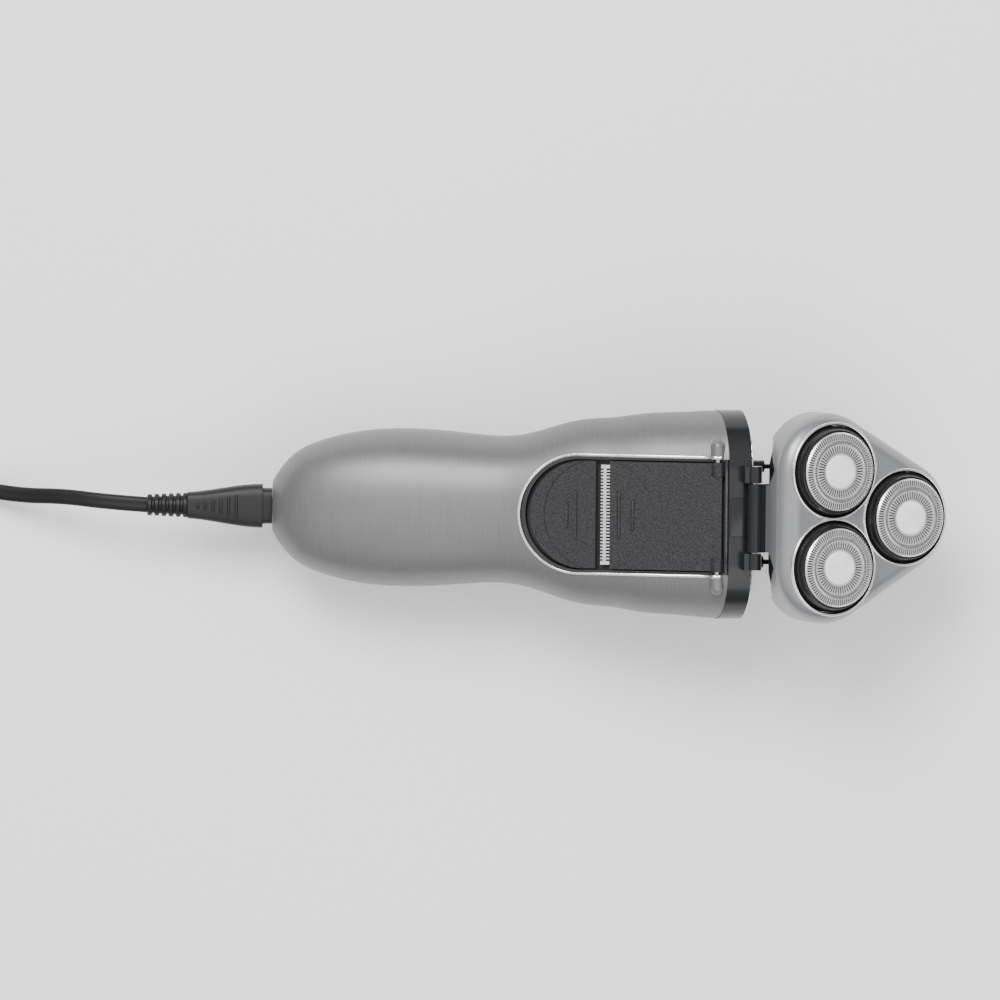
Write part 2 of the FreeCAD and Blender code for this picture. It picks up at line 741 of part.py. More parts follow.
def comb_plate(label, start, half_width, bottom, top, teeth):
    """A thin steel plate with a row of teeth on either side of its spine, cut by one repeated pair of slots."""
    body = new_body(at(TRIMMER, 0, 0, size(bottom)))
    sketch = sketch_on(body)
    root = "-26.3"
    draw_polygon(
        sketch, [(start, f"-{half_width}"), (root, f"-{half_width}"), (root, half_width), (start, half_width)]
    )
    pad(body, sketch, f"({top}) - ({bottom})")
    gap, end_tooth = f"{half_width} / ({teeth})", "1"
    low = f"-{half_width} + {end_tooth}"
    high = f"{low} + {gap}"
    slot = sketch_on(body, height=f"({top}) - ({bottom})")
    for near, far in ((f"{start} - 1", f"{start} + 0.7"), (f"{start} + 1.5", f"{start} + 3")):
        draw_polygon(slot, [(near, low), (far, low), (far, high), (near, high)])
    cut = pocket(body, slot, f"({top}) - ({bottom})")
    pattern = body.newObject("PartDesign::LinearPattern", "Teeth")
    pattern.Originals = [cut]
    pattern.Direction = (origin_feature(body, "Y_Axis"), [""])
    pattern.setExpression("Length", bound(f"({half_width} - {end_tooth}) * 2 - {gap}"))
    pattern.setExpression("Occurrences", bound(teeth))
    body.Tip = pattern
    doc.recompute()
    keep(body, label)


def make_trimmer_blades():
    """Fixed comb and the toothed blade that slides below it."""
    comb_plate("trimmer_comb", "blade_start", "13.9", "-0.8", "-0.15", "trimmer_teeth")
    comb_plate("trimmer_blade", "blade_start + 0.3", "12.9", "-1.6", "-1.0", "trimmer_teeth - 5")


def make_trimmer_button():
    """D-shaped button that frees the trimmer, with two grip ridges."""
    body = tongue_plate("button_centre", "button_radius", "button_end", "0", "skin")
    foot = block(TRIMMER, "-46", "-36", "5", "-2.2", "0.1")
    ridges = [block(TRIMMER, x, f"{x} + 0.8", half, "0.5", "1.35") for x, half in (("-43", "3.8"), ("-40.5", "6.6"))]
    keep(joined([less(body, [thumb_recess()]), foot] + ridges), "trimmer_button")


# ---- shaving head --------------------------------------------------------------------------------


def top_edges(body, height):
    """Names of the outer edges round a body's top face."""
    names = []
    for number, edge in enumerate(body.Shape.Edges, 1):
        box = edge.BoundBox
        if abs(box.ZMin - height) < 1e-4 and abs(box.ZMax - height) < 1e-4:
            names.append(f"Edge{number}")
    return names


def make_head_frame():
    """Chrome cover of the head, with a round opening for each shaving unit."""
    body = new_body(HEAD)
    sketch = sketch_on(body, height="head_bottom")
    draw_triangle(sketch, "head_corner")
    feature = pad(body, sketch, "head_top - head_bottom")
    edge = body.newObject("PartDesign::Fillet", "Edge")
    edge.Base = (feature, top_edges(feature, size("head_top")))
    edge.setExpression("Radius", bound("head_edge"))
    doc.recompute()
    hollow = sketch_on(body, height="head_top - 1.8")
    draw_triangle(hollow, "head_corner - head_wall")
    pocket(body, hollow, "head_top - 1.8 - head_bottom")
    round_holes(body, CUTTERS, "opening_radius", "head_top", "2")
    post = rod(HEAD, "2.3", "7.8", "head_top - 1.7", CENTRE_X, 0)
    web_gap = block(HEAD, "0", "6", "knuckle_half_width + 0.1", "0", "1.6")
    crown = [rod(HEAD, "opening_radius", "9", "head_top + 1", c.x, c.y) for c in CUTTERS]
    keep(joined([less(body, [web_gap, ear_notch(1), ear_notch(-1)]), less(post, crown)]), "head_frame")


def ear_notch(side):
    """Wedge-shaped notch in the cover's skirt that clears one ear of the collar."""
    body = new_body(HEAD)
    sketch = sketch_on(body, "YZ_Plane")
    corners = [("9.2", "-0.5"), ("9.2", "3.3"), ("13.6", "6.2"), ("21.5", "1.8"), ("22.6", "-0.5")]
    draw_polygon(sketch, [(f"{side} * {y}", z) for y, z in corners])
    pad(body, sketch, "7.5")
    return body


def make_head_liner():
    """Black hair chamber inside the cover, with the head's hinge knuckle and the latch window."""
    wall = triangle_plate(HEAD, "liner_corner", "head_bottom", "liner_top")
    depth = "liner_top - head_bottom"
    triangle_hollow(wall, "liner_corner - liner_wall", depth, depth)
    knuckle = cross_bar(HEAD, "knuckle_radius", -size("knuckle_half_width"), size("knuckle_half_width"))
    web = block(HEAD, "0.5", "5", "knuckle_half_width", "head_bottom", "1.4")
    hole = cross_bar(HEAD, "hinge_pin_radius + running_gap", -12, 12)
    window = block(HEAD, "53", "58", "3.6", "1.4", "3.1")
    keep(less(joined([wall, knuckle, web]), [hole, window]), "head_liner")


def make_retainer():
    """Plate that holds the cutters in the head, and the quarter-turn knob that locks it."""
    depth = "retainer_top - retainer_bottom"
    plate = triangle_plate(HEAD, "12.6", "retainer_bottom", "retainer_top")
    round_holes(plate, CUTTERS, "6.5", depth, depth)
    round_holes(plate, [Vector(CENTRE_X, 0, 0)], "knob_stem_radius + 0.1", depth, depth)
    keep(plate, "retaining_frame")
    place = at(HEAD, CENTRE_X, 0, 0)
    knob = turned(place, [("0", "2.9"), ("4.5", "2.9"), ("4.5", "4.2"), ("knob_stem_radius", "4.2"),
                          ("knob_stem_radius", "7.5"), ("0", "7.5")])
    grip = block(place, "-4", "4", "0.9", "1.3", "3")
    keep(joined([knob, grip]), "lock_knob")


def make_shaving_unit(number, centre):
    """One black holder ring with its spring, slotted steel comb, centre cap and bladed cutter."""
    place = at(HEAD, centre.x, centre.y, 0)
    ring, inner = "ring_radius", "comb_radius + 0.1"
    ring_corners = [("7.2", "ring_bottom + 0.4"), (inner, "ring_bottom"), (ring, "ring_bottom"), (ring, "ring_top - 2.3"),
                    ("ring_radius - 1", "ring_top"), (inner, "ring_top"), (inner, "comb_skirt_bottom - 0.1"), ("7.2", "comb_skirt_bottom - 0.1")]
    keep(turned(place, ring_corners), f"comb_ring_{number}")
    spring_corners = [("8.6", "retainer_top + 0.1"), ("9", "retainer_top + 0.1"), ("10.9", "ring_bottom - 0.1"),
                      ("10.5", "ring_bottom - 0.1")]
    keep(turned(place, spring_corners), f"float_spring_{number}")
    keep(make_comb(place), f"comb_{number}")
    cap = [("0", "comb_face"), ("cap_radius", "comb_face"), ("cap_radius", "comb_face + 0.3"),
           ("cap_radius - 0.5", "comb_face + 0.6"), ("0", "comb_face + 0.6")]
    keep(turned(place, cap), f"comb_cap_{number}")
    keep(make_cutter(place), f"cutter_{number}")


def make_comb(place):
    """Steel cup with two rings of slots in its face."""
    inner, under, foot = "comb_radius - comb_sheet", "comb_face - comb_sheet", "comb_skirt_bottom"
    body = turned(place, [("0", under), (inner, under), (inner, foot), ("comb_radius", foot),
                          ("comb_radius", under), (inner, "comb_face"), ("0", "comb_face")])
    outer_ring = ("comb_radius - 2", "comb_radius - 0.3", "outer_slots")
    inner_ring = ("cap_radius + 0.5", "cap_radius + 2.7", "inner_slots")
    for start, stop, count in (outer_ring, inner_ring):
        sketch = sketch_on(body, height="comb_face")
        half = "slot_width / 2"
        draw_polygon(sketch, [(start, f"-{half}"), (stop, f"-{half}"), (stop, half), (start, half)])
        slot = pocket(body, sketch, "comb_sheet + 0.5")
        around(body, slot, count)
    return body


def make_cutter(place):
    """Turned hub and disc with a ring of upright blades, and a round socket for the spindle."""
    body = turned(place, [("socket_radius", "8.4"), ("3.4", "8.4"), ("3.4", "11.3"), ("cutter_radius", "11.3"),
                          ("cutter_radius", "12"), ("0", "12"), ("0", "10.6"), ("socket_radius", "10.6")])
    sketch = sketch_on(body, height="11.9")
    draw_polygon(sketch, [("5", "-0.25"), ("cutter_radius - 0.1", "-0.25"), ("cutter_radius - 0.1", "0.25"), ("5", "0.25")])
    blade = pad(body, sketch, "comb_face - comb_sheet - 0.25 - 11.9")
    around(body, blade, "cutter_blades")
    return body


# ---- charging lead -------------------------------------------------------------------------------

TAIL_Y = size("coil_y + coil_mean_radius + cord_width")

# The lead's route from the strain relief to the coil, lying down on the surface on its way.
LEAD_ROUTE = [
    Vector(-129.4, 0, 18.5),
    Vector(-141, 0.7, 17.9),
    Vector(-153, 1.9, 13.4),
    Vector(-165, 1.6, 7.6),
    Vector(-177, 3.2, 3.4),
    Vector(-190, 6.6, 2.0),
    Vector(-203, 8.0, 1.9),
]


def make_plug():
    """Flat plug, its two-pole nose inside the socket and a ribbed strain relief behind it."""
    height = size("socket_height")
    frame = Placement(Vector(0, 0, height), Rotation())
    rows = [("plug_face", 5.0, 3.2), ("plug_shoulder", 5.0, 3.3), ("plug_shoulder - 0.01", 6.1, 4.2),
            ("-104", 5.6, 4.1), ("-111", 4.5, 3.8), ("relief_start", 3.7, 3.5)]
    solids = []
    for group in (rows[:2], rows[2:]):
        wires = [rounded_section(size(x), half_y, half_z, height) for x, half_y, half_z in group]
        solids.append(Part.makeLoft(wires, True, False))
    shape_piece("plug_body", solids[0].fuse(solids[1]))
    keep(block(frame, "plug_face", "-87.6", "2.4", "-1.4", "1.4"), "plug_nose")
    ribs = 6
    step = size("relief_start - relief_end") / (2 * ribs - 1)
    corners = [("0", "0")]
    for rib in range(ribs):
        outer = 3.5 - 0.1 * rib
        corners += [(f"{outer}", f"{2 * rib * step:.3f}"), (f"{outer}", f"{(2 * rib + 1) * step:.3f}")]
        if rib < ribs - 1:
            corners += [("2.3", f"{(2 * rib + 1) * step:.3f}"), ("2.3", f"{(2 * rib + 2) * step:.3f}")]
    corners.append(("0", f"{(2 * ribs - 1) * step:.3f}"))
    place = Placement(Vector(size("relief_start"), 0, height), Rotation(Vector(0, 1, 0), -90))
    keep(turned(place, corners), "strain_relief")


def rounded_section(x, half_y, half_z, height):
    """A soft rectangle across the lead at a place along it."""
    points = []
    for step in range(24):
        angle = 2 * math.pi * step / 24
        across, up = math.cos(angle), math.sin(angle)
        reach = (abs(across / half_y) ** 4 + abs(up / half_z) ** 4) ** -0.25
        points.append(Vector(x, reach * across, height + reach * up))
    curve = Part.BSplineCurve()
    curve.interpolate(Points=points, PeriodicFlag=True)
    return Part.Wire([curve.toShape()])


def soft_path(points):
    """Straight runs joined by tangent arcs, each as large as its two runs allow."""
    edges, start, radii = [], points[0], []
    for before, corner, after in zip(points, points[1:], points[2:]):
        back, ahead = (before - corner).normalize(), (after - corner).normalize()
        half_turn = (math.pi - back.getAngle(ahead)) / 2
        short = 0.45 * min(before.distanceToPoint(corner), corner.distanceToPoint(after))
        radius = short / math.tan(half_turn)
        first, last = corner + back * short, corner + ahead * short
        inward = (back + ahead).normalize()
        middle = corner + inward * (radius / math.cos(half_turn) - radius)
        edges.append(Part.LineSegment(start, first).toShape())
        edges.append(Part.Arc(first, middle, last).toShape())
        start = last
        radii.append(round(radius, 1))
    edges.append(Part.LineSegment(start, points[-1]).toShape())
    print("lead radii", radii)
    return Part.Wire(edges)


def make_lead():
    """The lead's loose stretch, the coil of the rest, the stretch to the adaptor and the tie."""
    path = soft_path(LEAD_ROUTE)
    half_y, half_z = size("cord_width") / 2, size("cord_thickness") / 2
    ellipse = Part.Ellipse(Vector(0, 0, 0), half_y, half_z)
    profile = Part.Wire([ellipse.toShape()])
    start = LEAD_ROUTE[0]
    ahead = (LEAD_ROUTE[1] - start).normalize()
    side = Vector(0, 0, 1).cross(ahead).normalize()
    profile.Placement = Placement(start, Rotation(side, ahead.cross(side), ahead, "XYZ"))
    sweep = Part.BRepOffsetAPI.MakePipeShell(path)
    sweep.add(profile, False, False)
    sweep.setBiNormalMode(Vector(0, 0, 1))
    sweep.build()
    sweep.makeSolid()
    run = sweep.shape()
    print("lead volume", round(run.Volume, 1), "expected", round(math.pi * half_y * half_z * path.Length, 1))
    shape_piece("cord_run", run)
    place = Placement(Vector(size("coil_x"), size("coil_y"), 0), Rotation())
    inner, outer = "coil_mean_radius - coil_half_width", "coil_mean_radius + coil_half_width"
    corners = [(inner, "coil_bottom"), (outer, "coil_bottom"), (outer, "coil_top"), (inner, "coil_top")]
    keep(turned(place, corners), "cord_coil")
    tail = Placement(Vector(size("tail_end"), TAIL_Y - half_y, size("tail_height") - half_z), Rotation())
    length = "coil_x - tail_end"
    keep(primitive("Box", tail, Length=length, Width="cord_width", Height="cord_thickness"), "cord_tail")
    tie_place = Placement(Vector(size("coil_x"), size("coil_y - coil_mean_radius"), 0), Rotation())
    band = block(tie_place, "-2.5", "2.5", "coil_half_width + 1.3", "0", "coil_top + 0.7")
    hole = block(tie_place, "-3", "3", "coil_half_width + 0.7", "coil_bottom - 0.02", "coil_top + 0.1")
    keep(less(band, [hole]), "cord_tie")


def make_adaptor():
    """Plug-in adaptor with two round pins, lying past the coil."""
    start, length = size("adaptor_start"), size("adaptor_length")
    corner = Placement(Vector(start - length, TAIL_Y - size("adaptor_width") / 2, 0), Rotation())
    case = primitive("Box", corner, Length="adaptor_length", Width="adaptor_width", Height="adaptor_depth")
    doc.recompute()
    soft = doc.addObject("Part::Fillet", "Soft")
    soft.Base = case
    soft.Edges = [(number, 2.5, 2.5) for number in range(1, len(case.Shape.Edges) + 1)]
    backwards = Rotation(Vector(0, 1, 0), -90)
    cord_end = Placement(Vector(size("tail_end"), TAIL_Y, size("tail_height")), backwards)
    relief = rod(cord_end, "3", "0", "tail_end - adaptor_start + 1")
    keep(joined([soft, relief]), "adaptor_case")
    far_face = Placement(Vector(start - length, TAIL_Y, size("adaptor_depth") / 2), backwards)
    pins = [rod(far_face, "2", "0", "19", 0, side * 9.3) for side in (-1, 1)]
    keep(joined(pins), "adaptor_pins")


# ---- build ---------------------------------------------------------------------------------------


def build():
    """Make every sub-part, check it and write it."""
    make_shells()
    make_collar()
    make_hinge_pin()
    make_release_button()
    make_gear_plate()
    make_gear_carrier()
    make_gears()
    make_pinion()
    make_spindles()
    make_motor()
    make_battery()
    make_electronics()
    make_power_button()
    make_charge_socket()
    make_trimmer_tray()
    make_trimmer_pins()
    make_trimmer_panel()
    make_trimmer_blades()
    make_trimmer_button()
    make_head_frame()
    make_head_liner()
    make_retainer()
    for number, centre in enumerate(CUTTERS, 1):
        make_shaving_unit(number, centre)
    make_plug()
    make_lead()
    make_adaptor()
    doc.recompute()
    for item in doc.Objects:
        if {"Invalid", "Error"} & set(item.State):
            raise RuntimeError(f"{item.Label} could not be built")
    os.makedirs("parts", exist_ok=True)
    for item in PIECES:
        if item.Shape.isNull() or not item.Shape.isValid() or not item.Shape.Solids:
            raise RuntimeError(f"{item.Label} is not a valid solid")
    for item in PIECES:
        item.Shape.exportStep(f"parts/{item.Label}.step")
    print(len(PIECES), "sub-parts written")


build()
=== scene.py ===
"""Rotary electric shaver with its shaving head flipped open, finished for rendering.

Laid out as an add-on and run as a script. Metres, +X from the charging socket to the head, +Z up.
"""

import json
import math

import bmesh
import bpy
from mathutils import Matrix, Vector
from mathutils.bvhtree import BVHTree


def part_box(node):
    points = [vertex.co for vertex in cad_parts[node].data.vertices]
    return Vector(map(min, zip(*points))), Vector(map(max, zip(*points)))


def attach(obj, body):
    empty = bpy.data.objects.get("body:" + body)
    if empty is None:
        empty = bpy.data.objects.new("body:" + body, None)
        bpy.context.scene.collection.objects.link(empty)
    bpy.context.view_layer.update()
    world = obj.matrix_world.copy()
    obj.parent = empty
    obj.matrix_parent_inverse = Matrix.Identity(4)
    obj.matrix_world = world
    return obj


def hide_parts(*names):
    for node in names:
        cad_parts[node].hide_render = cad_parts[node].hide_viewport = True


bl_info = {
    "name": "Rotary shaver",
    "version": (1, 0, 0),
    "blender": (4, 5, 0),
    "location": "3D view > Sidebar > Shaver",
    "description": "Finishes a rotary electric shaver on its engineering model",
    "category": "Object",
}

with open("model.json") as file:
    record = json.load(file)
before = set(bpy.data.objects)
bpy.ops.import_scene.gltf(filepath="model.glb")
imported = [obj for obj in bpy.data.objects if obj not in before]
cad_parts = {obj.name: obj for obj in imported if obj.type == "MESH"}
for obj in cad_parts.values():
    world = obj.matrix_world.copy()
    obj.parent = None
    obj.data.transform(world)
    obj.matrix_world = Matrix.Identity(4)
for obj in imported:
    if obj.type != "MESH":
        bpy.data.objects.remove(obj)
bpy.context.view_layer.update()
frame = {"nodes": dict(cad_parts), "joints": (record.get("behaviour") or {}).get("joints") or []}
NODES = frame["nodes"]
JOINTS = {joint["name"]: joint for joint in frame["joints"]}
MM = 0.001

# The leaning frames of the open head, of the collar that it closes on and of the trimmer.
HINGE = Vector(JOINTS["head_hinge"]["pos_m"])
TRIMMER_HINGE = Vector(JOINTS["trimmer_hinge"]["pos_m"])
OUT_OF_HEAD = -Vector(JOINTS["float_1"]["axis"])
OUT_OF_MOUTH = -Vector(JOINTS["spindle_push_1"]["axis"])
ALONG_BACK = -Vector(JOINTS["trimmer_release"]["axis"])


def leaning(origin, out):
    """A frame at origin whose z is out and whose y is the world's."""
    across = Vector((0, 1, 0))
    along = across.cross(out)
    return Matrix.Translation(origin) @ Matrix((along, across, out)).transposed().to_4x4()


HEAD = leaning(HINGE, OUT_OF_HEAD)
MOUTH = leaning(HINGE, OUT_OF_MOUTH)
TRIMMER = leaning(TRIMMER_HINGE, Vector((-ALONG_BACK.z, 0, ALONG_BACK.x)))
CUTTERS = [HEAD.inverted() @ Vector(JOINTS[f"cutter_spin_{i}"]["pos_m"]) for i in (1, 2, 3)]
CUTTERS = [Vector((c.x, c.y, 0)) for c in CUTTERS]


# ---- settings ------------------------------------------------------------------------------------


class ShaverSizes(bpy.types.PropertyGroup):
    """Sizes of the fine detail."""

    lip_width: bpy.props.FloatProperty(
        name="Lip width",
        description="Width of the rolled lip round each opening",
        default=0.9 * MM,
        unit="LENGTH",
    )
    # The rim is a painted highlight on the recess's edge.
    rim_width: bpy.props.FloatProperty(
        name="Rim width",
        description="Width of the bright edge round the trimmer's recess",
        default=0.9 * MM,
        unit="LENGTH",
    )
    cord_width: bpy.props.FloatProperty(
        name="Cord width",
        description="Width of the flat twin cord",
        default=4.4 * MM,
        unit="LENGTH",
    )
    cord_thickness: bpy.props.FloatProperty(
        name="Cord thickness",
        description="Thickness of the flat twin cord",
        default=2.3 * MM,
        unit="LENGTH",
    )


class ShaverColours(bpy.types.PropertyGroup):
    """Colours of the finishes, as the eye sees them."""

    shell: bpy.props.StringProperty(
        name="Shell", description="Satin silver lacquer", default="#737373"
    )
    plastic: bpy.props.StringProperty(
        name="Plastic", description="Spark-eroded black ABS", default="#18181A"
    )
    chrome: bpy.props.StringProperty(
        name="Chrome", description="Satin chrome on the head's cover", default="#8B8C8E"
    )
    steel: bpy.props.StringProperty(
        name="Steel", description="Ground steel of the springs, motor can and pins", default="#B9B8B6"
    )
    floor: bpy.props.StringProperty(
        name="Floor", description="Plain pale floor", default="#FFFFFF"
    )


def sizes():
    return bpy.context.scene.shaver_sizes


def colours():
    return bpy.context.scene.shaver_colours


# ---- materials -----------------------------------------------------------------------------------


def linear(text):
    """A hex colour as the eye sees it, as the linear numbers that a shader reads."""
    levels = [int(text[i : i + 2], 16) / 255 for i in (1, 3, 5)]
    return [v / 12.92 if v <= 0.04045 else ((v + 0.055) / 1.055) ** 2.4 for v in levels] + [1]


def add_node(tree, kind, settings=(), links=()):
    """A node with its settings and sockets set and its inputs linked."""
    item = tree.nodes.new(kind)
    for name, value in dict(settings).items():
        if hasattr(item, name):
            setattr(item, name, value)
        else:
            item.inputs[name].default_value = value
    for name, source in dict(links).items():
        tree.links.new(source, item.inputs[name])
    return item


def new_material(name):
    """An empty material with its surface shader and the object's own coordinates."""
    material = bpy.data.materials.new(name)
    material.use_nodes = True
    tree = material.node_tree
    place = add_node(tree, "ShaderNodeTexCoord").outputs["Object"]
    return material, tree, tree.nodes["Principled BSDF"], place


def set_shader(shader, **settings):
    """Constant values straight on the shader's own sockets."""
    for name, value in settings.items():
        shader.inputs[name.replace("_", " ")].default_value = value


def fine_bump(tree, shader, height, strength, distance):
    """Let a pattern's value raise a surface by up to distance."""
    settings = {"Strength": strength, "Distance": distance}
    bump = add_node(tree, "ShaderNodeBump", settings, {"Height": height})
    tree.links.new(bump.outputs["Normal"], shader.inputs["Normal"])


def colour_pattern(tree, shader, source, colour, darkest, lightest):
    """Colour a surface by a pattern's value, between two shares of its own colour's brightness."""
    ramp = add_node(tree, "ShaderNodeValToRGB", links={"Fac": source})
    for element, position, share in zip(ramp.color_ramp.elements, (0.35, 0.65), (darkest, lightest)):
        element.position = position
        element.color = [min(1, level * share) for level in linear(colour)[:3]] + [1]
    tree.links.new(ramp.outputs["Color"], shader.inputs["Base Color"])


def gloss_pattern(tree, shader, source, smoothest, roughest):
    """Let a pattern's value set how rough a surface is, between two limits."""
    limits = {"To Min": smoothest, "To Max": roughest}
    gloss = add_node(tree, "ShaderNodeMapRange", limits, {"Value": source})
    tree.links.new(gloss.outputs["Result"], shader.inputs["Roughness"])


def noise(tree, place, size, detail, **more):
    """The value of a noise pattern whose grains are about as large as size."""
    settings = {"Scale": 1 / size, "Detail": detail, **more}
    return add_node(tree, "ShaderNodeTexNoise", settings, {"Vector": place}).outputs["Fac"]


def brushed_lacquer():
    """ABS shell, vacuum metallised and lacquered satin. It shows fine streaks across the grip."""
    material, tree, shader, place = new_material("satin silver lacquer on ABS")
    streak_width, streak_length = 0.3 * MM, 9 * MM
    stretch = (1 / streak_width, 1 / streak_length, 1 / streak_length)
    across = add_node(tree, "ShaderNodeMapping", {"Scale": stretch}, {"Vector": place}).outputs["Vector"]
    streak = noise(tree, across, 1.0, 3.0, Roughness=0.6)
    colour_pattern(tree, shader, streak, colours().shell, 0.93, 1.04)
    gloss_pattern(tree, shader, streak, 0.42, 0.5)
    fine_bump(tree, shader, streak, 0.12, 0.02 * MM)
    set_shader(shader, Metallic=0.6, Coat_Weight=0.15, Coat_Roughness=0.3)
    return material


def eroded_plastic(name, colour, roughness, grain, depth):
    """Plastic moulded in a spark-eroded tool: an even grain that glints where the light grazes it."""
    material, tree, shader, place = new_material(name)
    grains = noise(tree, place, grain, 2.0, Roughness=0.55)
    colour_pattern(tree, shader, grains, colour, 0.5, 3)
    fine_bump(tree, shader, grains, 0.6, depth)
    set_shader(shader, Roughness=roughness, IOR=1.53, Specular_IOR_Level=0.35)
    return material


def smooth_plastic(name, colour, roughness):
    """Moulded plastic with a polished tool's smooth skin and a trace of unevenness."""
    material, tree, shader, place = new_material(name)
    waves = noise(tree, place, 5 * MM, 2.0)
    colour_pattern(tree, shader, waves, colour, 0.93, 1.05)
    gloss_pattern(tree, shader, waves, roughness * 0.85, roughness * 1.15)
    fine_bump(tree, shader, waves, 0.15, 0.02 * MM)
    set_shader(shader, IOR=1.5, Specular_IOR_Level=0.35)
    return material


def satin_chrome():
    """Chrome plated ABS with a satin skin: bright, with soft broad reflections."""
    material, tree, shader, place = new_material("satin chrome plating")
    haze = noise(tree, place, 9 * MM, 4.0)
    colour_pattern(tree, shader, haze, colours().chrome, 0.96, 1)
    gloss_pattern(tree, shader, haze, 0.34, 0.4)
    set_shader(shader, Metallic=0.6, Coat_Weight=0.3, Coat_Roughness=0.12)
    return material


def circles(tree, place, centre):
    """A pattern of fine circles about an axis of the shaving head, as a turned piece shows."""
    ring_width = 0.25 * MM
    turn = HEAD.to_quaternion().inverted().to_euler()
    moved = add_node(tree, "ShaderNodeVectorMath", {"operation": "SUBTRACT"}, {0: place})
    moved.inputs[1].default_value = HEAD @ centre
    turned = add_node(tree, "ShaderNodeMapping", {"Rotation": turn}, {"Vector": moved.outputs["Vector"]})
    flat = add_node(tree, "ShaderNodeVectorMath", {"operation": "MULTIPLY"}, {0: turned.outputs["Vector"]})
    flat.inputs[1].default_value = (1, 1, 0)
    reach = add_node(tree, "ShaderNodeVectorMath", {"operation": "LENGTH"}, {0: flat.outputs["Vector"]})
    settings = {"noise_dimensions": "1D", "Scale": 1 / ring_width, "Detail": 2.0}
    return add_node(tree, "ShaderNodeTexNoise", settings, {"W": reach.outputs["Value"]}).outputs["Fac"]


def ground_steel(name, colour, roughness, centre=None):
    """Metal ground on a wheel. A piece with a centre shows fine circles about its own axis."""
    material, tree, shader, place = new_material(name)
    scratch = noise(tree, place, 0.6 * MM, 3.0) if centre is None else circles(tree, place, centre)
    colour_pattern(tree, shader, scratch, colour, 0.82, 1.12)
    gloss_pattern(tree, shader, scratch, roughness - 0.05, roughness + 0.08)
    fine_bump(tree, shader, scratch, 0.1, 0.01 * MM)
    set_shader(shader, Metallic=1.0)
    return material


def floor_paper():
    """Matt seamless paper, a trace of tooth in it."""
    material, tree, shader, place = new_material("seamless background paper")
    colour_pattern(tree, shader, noise(tree, place, 2 * MM, 2.0), colours().floor, 0.985, 1)
    set_shader(shader, Roughness=0.9)
    return material


MATERIALS = {}


def finish_of(name):
    """A shared material, made the first time that it is asked for."""
    # The panel's grain is really about 0.15 mm. It is drawn coarser, or it would be too fine to see.
    panel_grain, panel_depth = 0.45 * MM, 0.12 * MM
    plug_grain, plug_depth = 0.2 * MM, 0.015 * MM
    # Acetal and ABS from polished tools are even, with soft reflections. PVC is softer and duller.
    # Ground and turned metals are bright along the light and dark across it.
    makers = {
        "shell": brushed_lacquer,
        "chrome": satin_chrome,
        "grained": lambda: eroded_plastic(
            "spark-eroded black ABS", colours().plastic, 0.36, panel_grain, panel_depth
        ),
        "collar": lambda: smooth_plastic("satin black ABS", "#1C1D1F", 0.22),
        "black": lambda: smooth_plastic("black acetal", "#17181A", 0.28),
        "recess": lambda: smooth_plastic("dark grey ABS", "#2A2B2D", 0.45),
        "cord": lambda: smooth_plastic("soft black PVC sheath", "#0B0B0C", 0.5),
        "plug": lambda: eroded_plastic("matt black PVC", "#0E0E0F", 0.5, plug_grain, plug_depth),
        "cap": lambda: smooth_plastic("white acetal", "#F6F6F4", 0.3),
        "gear": lambda: smooth_plastic("natural acetal", "#E4E2DA", 0.4),
        "steel": lambda: ground_steel("ground spring steel", colours().steel, 0.25),
        # Painted shade: the cutters' steel is made near-black so that the combs' slots over it read dark,
        # as the shaded inside of the head does. The trimmer's blade shares it.
        "cutter": lambda: ground_steel("near-black cutter steel, painted shade", "#26272A", 0.4),
        # Painted highlight: this near-white polished metal on the recess's rim, the collar's line and the
        # openings' lips stands in for light caught along those edges. The trimmer's comb shares it.
        "rim": lambda: ground_steel("near-white edge metal, painted highlight", "#E9E9EA", 0.16),
        "brass": lambda: ground_steel("turned brass", "#C9A35A", 0.25),
        "nickel": lambda: ground_steel("nickel plated brass", "#CFCBC0", 0.2),
        "board": lambda: smooth_plastic("green solder mask on FR4", "#1E5B38", 0.3),
        "wrap": lambda: smooth_plastic("shrink sleeve", "#2E6E63", 0.25),
        "light": lambda: smooth_plastic("clear acrylic", "#A9D8B0", 0.1),
    }
    if name not in MATERIALS:
        MATERIALS[name] = makers[name]()
    return MATERIALS[name]


def dress(node, material):
    """Give a carried-over engineering piece its material."""
    obj = NODES[node]
    obj.data.materials.clear()
    obj.data.materials.append(material)


# ---- mesh helpers --------------------------------------------------------------------------------

WELD = 1e-7  # metres: corners closer together than this are one


def place_piece(name, mesh, body, material, smooth_angle=35):
    """Link a finished mesh, shade it smooth between its edges, and let it ride on its body."""
    data = bpy.data.meshes.new(name)
    mesh.to_mesh(data)
    mesh.free()
    data.shade_smooth()
    data.set_sharp_from_angle(angle=math.radians(smooth_angle))
    obj = bpy.data.objects.new(name, data)
    bpy.context.scene.collection.objects.link(obj)
    data.materials.append(material)
    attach(obj, body)
    return obj


def spin_profile(profile, place, steps=96):
    """A closed ring or a solid made by turning an outline of radius and height about z."""
    mesh = bmesh.new()
    verts = [mesh.verts.new((r, 0, z)) for r, z in profile]
    edges = [mesh.edges.new((a, b)) for a, b in zip(verts, verts[1:])]
    if min(r for r, _ in profile) > WELD:
        edges.append(mesh.edges.new((verts[-1], verts[0])))
    bmesh.ops.spin(
        mesh, geom=verts + edges, cent=(0, 0, 0), axis=(0, 0, 1), dvec=(0, 0, 0), angle=2 * math.pi,
        steps=steps, use_merge=True, use_duplicate=False,
    )
    bmesh.ops.remove_doubles(mesh, verts=mesh.verts, dist=WELD)
    bmesh.ops.recalc_face_normals(mesh, faces=mesh.faces)
    bmesh.ops.transform(mesh, matrix=place, verts=mesh.verts)
    return mesh


